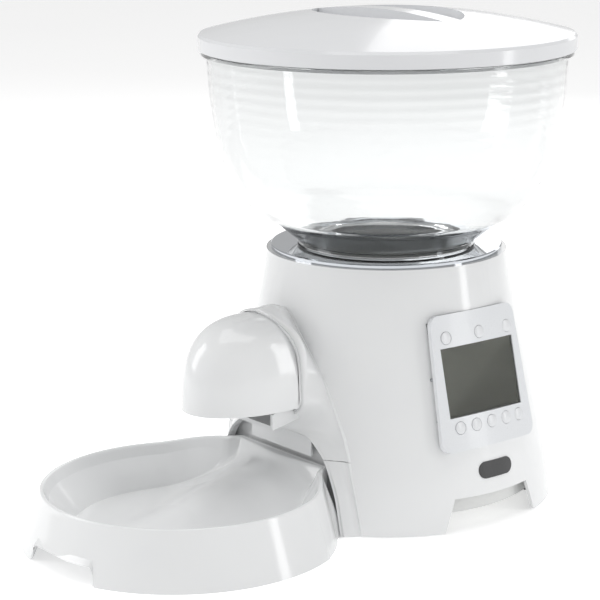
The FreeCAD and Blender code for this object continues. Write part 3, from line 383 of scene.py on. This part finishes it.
def feedingBowl(shape):
    steps, rings = shape["steps"], []
    angles = [2 * math.pi * step / steps for step in range(steps)]
    rims = [bowlOutline(shape["rim"], shape["rimNeck"], angle) for angle in angles]
    feet = [bowlOutline(shape["foot"], shape["footNeck"], angle) for angle in angles]
    ups = [bowlRimUp(shape, angle) for angle in angles]
    left, right = shape["notch"]
    notches = []
    for angle in angles:
        turn = math.degrees(angle) - (360 if angle > math.pi else 0)
        edge = min(turn - left, right - turn) / shape["notchTurn"]
        notches.append(shape["notchUp"] * softStep(0, 1, edge))

    def ring(reach, up):
        centre, front = shape["centre"] + towerY / mm, cadBox[0][1] / mm  # the foot stays inside the box
        rings.append([(math.cos(angle) * reach(index), max(centre + math.sin(angle) * reach(index), front),
                       up(index)) for index, angle in enumerate(angles)])

    def insideRing(reach, depth):
        ring(reach, lambda i: bowlInside(shape, math.cos(angles[i]) * reach(i),
                                         math.sin(angles[i]) * reach(i), depth, ups[i]))

    ring(lambda i: 3, lambda i: shape["floor"] - shape["skin"])
    ring(lambda i: rims[i] - 24, lambda i: shape["floor"] - shape["skin"])
    ring(lambda i: rims[i] - 5.5, lambda i: ups[i] - 7)
    ring(lambda i: feet[i] - shape["skin"], lambda i: notches[i])
    for part in [0, 0.01] + [step / 10 for step in range(1, 11)]:
        ring(lambda i: feet[i] + (rims[i] - feet[i]) * max(part, notches[i] / ups[i]),
             lambda i: max((ups[i] - 1.6) * part, notches[i]))
    for inset, drop in ((0.15, 0.9), (0.55, 0.35), (1.2, 0.05), (1.9, 0.1), (2.5, 0.45)):
        ring(lambda i: rims[i] - inset, lambda i: ups[i] - drop)
    inner = [shape["wallRun"] * step / shape["wallRings"] for step in range(shape["wallRings"] + 1)]
    for depth in inner:
        insideRing(lambda i: rims[i] - shape["lip"] - depth, depth)
    for step in range(1, shape["floorRings"]):
        part = 1 - step / shape["floorRings"]
        insideRing(lambda i: (rims[i] - shape["lip"] - shape["wallRun"]) * part, shape["wallRun"])
    work = ringSkin(rings)
    bmesh.ops.recalc_face_normals(work, faces=work.faces)
    markSmooth(work, shape["sharp"])
    piece = finishPiece(work, "feedingBowl", "feeding_bowl")
    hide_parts("feeding_bowl")


feedingBowl(bowl)
print("bowl made")


# the hood over the spout: a fat dome drawn forwards, open below and behind
hood = {
    "half": 37.7, "centre": -127.4, "reach": 55.8, "low": 89.0, "top": 152.7, "back": -113.4, "wall": 2.5,
    "fat": 2.75, "roundSteps": 72, "upSteps": 40, "hemUp": 3.0, "hemIn": 0.5, "sharp": 50,
}


def spoutHood(shape):
    rows = []
    for step in range(shape["upSteps"] + 1):
        turn = math.pi / 2 * step / shape["upSteps"]
        rise = math.sin(turn) ** (2 / shape["fat"])
        girth = math.cos(turn) ** (2 / shape["fat"]) if step < shape["upSteps"] else 0.0
        up = shape["low"] + (shape["top"] - shape["low"]) * rise
        hem = shape["hemIn"] * max(0, 1 - (up - shape["low"]) / shape["hemUp"]) ** 2
        half = max(shape["half"] * girth - hem, 0)
        reach = max(shape["reach"] * girth - hem, 0)
        row = [(half, shape["back"], up)]
        for part in range(shape["roundSteps"] + 1):
            angle = math.pi * part / shape["roundSteps"]
            row.append((half * math.cos(angle), shape["centre"] - reach * math.sin(angle), up))
        rows.append(row + [(-half, shape["back"], up)])
    work = drawOut(rows)
    bmesh.ops.remove_doubles(work, verts=work.verts, dist=0.02 * mm)
    faceUpwards(work)
    markSmooth(work, shape["sharp"])
    piece = finishPiece(work, "spoutHood", "spout_hood")
    giveWall(piece, shape["wall"])
    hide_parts("spout_hood")


spoutHood(hood)
print("hood made")

# the fairing: an arch that runs from a beaded seam on the tower's flat front to the hood and the bowl's neck
fairing = {
    "wall": 1.8, "legTop": 52.7, "split": 0.5, "perSpan": 7, "beadOut": 1.1, "beadIn": 1.6, "hollow": 1.6,
    "crestLift": 3.4, "frontLow": -92.3, "frontLean": -5.3 / 158, "return": 6.5, "sharp": 48,
    # heights over which the bead sinks away, the crest swells and the hollow of the legs fills out
    "beadSinks": (88, 112), "crestSwells": (118, 154), "hollowFills": (90, 140),
    # the tower is flat up to a height and rounds away above it
    "flatBack": -96.9, "flatUp": 147, "roundAway": 0.22,
    # across and up on the tower, then across, up and back at the front edge, from the floor to the top
    "seam": [(84, 1), (81.4, 13), (78, 27), (74, 41), (71.6, 52), (69.8, 58.5), (68.1, 63.5), (66, 69.5),
             (62.4, 77), (59, 83.5), (54.8, 91.5), (51, 98), (45.5, 106.5), (38.8, 115), (32, 123.3),
             (25, 131.5), (17.3, 140), (8.6, 149), (0, 154)],
    "edge": [(74, 1, -105), (71, 13, -105), (67.6, 27, -105), (62, 40, -105), (54.6, 52.8, -105),
             (46, 60.4, -105.2), (37, 66.3, -106), (26, 68.3, -109), (14.5, 69.8, -112.5),
             (17.5, 75.5, -113.2), (29, 84, -113.4), (37.7, 92, -113.4), (38, 105, -113.4),
             (38, 118, -113.6), (37.6, 129.5, -114.4), (33.2, 139.5, -116.3), (25.6, 146.6, -119),
             (13.5, 152, -121.5), (0, 154.5, -122.3)],
}


def fairingRows(shape):
    # rows of points from floor to floor: on the seam, over the bead, along the crest, at the edge
    seam = smoothLine(shape["seam"], shape["perSpan"])
    edge = smoothLine(shape["edge"], shape["perSpan"])
    half = []
    for index, ((side, up), (across, high, back)) in enumerate(zip(seam, edge)):
        onTower = max(shape["frontLow"] + shape["frontLean"] * up,
                      shape["flatBack"] + max(0, up - shape["flatUp"]) * shape["roundAway"])
        before, after = seam[max(index - 2, 0)], seam[min(index + 2, len(seam) - 1)]
        along = Vector((after[0] - before[0], 0, after[1] - before[1])).normalized()
        fade = 1 - 0.9 * softStep(*shape["beadSinks"], up)
        inward = Vector((-along.z, 0, along.x)) * fade
        beadOut = shape["beadOut"] * (0.35 + 0.65 * fade)
        start, end = Vector((side, onTower, up)), Vector((across, back, high))
        crest = (shape["crestLift"] * softStep(*shape["crestSwells"], up)
                 - shape["hollow"] * (1 - softStep(*shape["hollowFills"], up)))
        middle = start.lerp(end, 0.52) + Vector((0, 0.6, max(crest, crest * 0.3)))
        bead = [start + Vector((0, 1.5, 0)), start + Vector((0, -0.3, 0)),
                start + inward * shape["beadIn"] * 0.35 + Vector((0, -beadOut, 0)),
                start + inward * shape["beadIn"] + Vector((0, -beadOut * 1.05, 0)),
                start + inward * shape["beadIn"] * 1.5 + Vector((0, -beadOut * 1.1, 0))]
        slope = [bead[-1], bead[-1].lerp(middle, 0.5) + Vector((0, 0.5, 0)), middle, middle.lerp(end, 0.5),
                 end.lerp(middle, 0.06)]
        fall = [end, end + Vector((-0.25, 0.5, -0.25)), end + Vector((-0.4, shape["return"], -0.4))]
        half.append(bead[:-1] + [Vector(point) for point in smoothLine([tuple(v) for v in slope], 4)] + fall)
    rows = []
    for number in range(len(half[0])):
        right = [column[number] for column in half]
        rows.append(right + [Vector((-point.x, point.y, point.z)) for point in reversed(right[:-1])])
    return rows


def keepSide(work, low=None, high=None, side=0):
    # what lies between two heights, on one side or both
    cuts = [(low, (0, 0, -1)), (high, (0, 0, 1))]
    for up, way in cuts:
        if up is not None:
            bmesh.ops.bisect_plane(work, geom=work.verts[:] + work.edges[:] + work.faces[:],
                                   plane_co=(0, 0, up * mm), plane_no=way, clear_outer=True)
    if side:
        loose = [vert for vert in work.verts if vert.co.x * side < 0]
        bmesh.ops.delete(work, geom=loose, context="VERTS")


def fairingPieces(shape):
    rows = fairingRows(shape)
    cut = {"frontFairing": ("front_shell", {"low": shape["legTop"] + shape["split"]}),
           "fairingLegLeft": ("leg_left", {"high": shape["legTop"], "side": -1}),
           "fairingLegRight": ("leg_right", {"high": shape["legTop"], "side": 1})}
    for name, (node, limits) in cut.items():
        work = drawOut(rows)
        faceUpwards(work)
        keepSide(work, **limits)
        markSmooth(work, shape["sharp"])
        piece = finishPiece(work, name, node)
        giveWall(piece, shape["wall"])
        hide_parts(node)


fairingPieces(fairing)
print("fairing made")

# the hopper: a clear bowl turned in one wall, from its spigot up to the rim's flange
hopper = {
    "steps": 256, "perSpan": 14, "wall": 2.5, "ripple": 0.05, "rippleEvery": 7.5, "sharp": 35,
    "bowl": [(66.2, 193), (82.4, 206), (97.2, 214.2), (106.8, 224.5), (113.7, 235.6), (120.8, 251.5),
             (125.4, 268), (129.4, 296), (131.2, 318), (131.8, 330.2)],
    "spigot": [(61, 168.2), (63.4, 168.2), (63.4, 190.3), (65.9, 190.3)],
    "flange": [(131.8, 330.5), (136, 330.5), (136.1, 331), (136.1, 332.6), (135.7, 332.9), (129.4, 332.9)],
    "throat": [(61, 192)],
}


def hopperBowl(shape):
    outer = smoothLine(shape["bowl"], shape["perSpan"])
    for point in outer:
        point[0] += shape["ripple"] * math.sin(2 * math.pi * point[1] / shape["rippleEvery"])
    inner = [(radius - shape["wall"], height + 0.5) for radius, height in reversed(outer)]
    outline = shape["spigot"] + outer + shape["flange"] + inner + shape["throat"]
    work = turned(outline, shape["steps"])
    markSmooth(work, shape["sharp"])
    piece = finishPiece(work, "hopperBowl", "hopper_bowl")
    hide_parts("hopper_bowl")


hopperBowl(hopper)
print("hopper made")

# camera, floor and lights
view = {"lens": 124.31, "distance": 1588.58, "turn": 51.708, "pitch": 13.225, "roll": -0.341,
        "across": -64.45, "up": 140.8}


def addCamera(settings):
    turn, pitch = math.radians(settings["turn"]), math.radians(settings["pitch"])
    right = Vector((math.cos(turn), math.sin(turn), 0))
    back = Vector((math.sin(turn) * math.cos(pitch), -math.cos(turn) * math.cos(pitch), math.sin(pitch)))
    up = back.cross(right)
    place = (back * settings["distance"] + right * settings["across"] + up * settings["up"]) * mm
    data = bpy.data.cameras.new("camera")
    data.lens = settings["lens"]
    data.sensor_width = 36
    data.clip_start, data.clip_end = 0.05, 60
    camera = bpy.data.objects.new("camera", data)
    camera.matrix_world = (Matrix.Translation(place + Vector((0, towerY, 0)))
                           @ Matrix.Rotation(turn, 4, "Z") @ Matrix.Rotation(math.pi / 2 - pitch, 4, "X")
                           @ Matrix.Rotation(math.radians(settings["roll"]), 4, "Z"))
    bpy.context.scene.collection.objects.link(camera)
    bpy.context.scene.camera = camera


floorPlan = {"radius": 14.0, "color": "#fbfbfb", "glow": 0.34}


def addFloor(plan):
    work = bmesh.new()
    bmesh.ops.create_circle(work, cap_ends=True, segments=64, radius=plan["radius"])
    mesh = bpy.data.meshes.new("studioFloor")
    work.to_mesh(mesh)
    work.free()
    floor = bpy.data.objects.new("studioFloor", mesh)
    bpy.context.scene.collection.objects.link(floor)
    material, tree, shader, place = startMaterial("whiteSweep", {
        "Roughness": 0.7, "Emission Color": (1, 1, 1, 1), "Emission Strength": plan["glow"],
        "Specular IOR Level": 0.2})
    patches = addNode(tree, "ShaderNodeTexNoise", {"Scale": 1.3}, {"Vector": place})
    tint = addNode(tree, "ShaderNodeMix", {"data_type": "RGBA", 6: hexColor(plan["color"]),
                                           7: hexColor("#f8f8f8")}, {0: patches.outputs[0]})
    tree.links.new(tint.outputs[2], shader.inputs["Base Color"])
    mesh.materials.append(material)


# soft boxes: place and the point faced, both in metres, width and height, and power in watts
lamps = {
    "leftBox": {"at": (-1.2, -1.4, 1.0), "faces": (0, 0, 0.15), "size": (0.8, 1.3), "power": 10},
    "rightStrip": {"at": (1.5, 1.06, 0.62), "faces": (0.1, 0.08, 0.15), "size": (0.25, 1.2), "power": 4},
    "topBox": {"at": (0.1, 0.1, 2.0), "faces": (0, 0, 0), "size": (1.8, 1.8), "power": 15},
    "backBox": {"at": (-0.9, 1.6, 1.1), "faces": (0, 0, 0.25), "size": (1.2, 1.2), "power": 6},
}


def addLamps(boxes):
    for name, box in boxes.items():
        data = bpy.data.lights.new(name, "AREA")
        data.shape = "RECTANGLE"
        data.size, data.size_y = box["size"]
        data.energy = box["power"]
        lamp = bpy.data.objects.new(name, data)
        lamp.location = box["at"]
        aim = Vector(box["faces"]) - Vector(box["at"])
        lamp.rotation_euler = aim.to_track_quat("-Z", "Y").to_euler()
        bpy.context.scene.collection.objects.link(lamp)


roomGlow = 0.56    # even white light from all round


def addRoom(strength):
    world = bpy.data.worlds.new("studioRoom")
    world.use_nodes = True
    world.node_tree.nodes["Background"].inputs["Color"].default_value = (1, 1, 1, 1)
    world.node_tree.nodes["Background"].inputs["Strength"].default_value = strength
    bpy.context.scene.world = world
    bpy.context.scene.view_settings.view_transform = "Standard"


addCamera(view)
addFloor(floorPlan)
addLamps(lamps)
addRoom(roomGlow)
print("studio set")
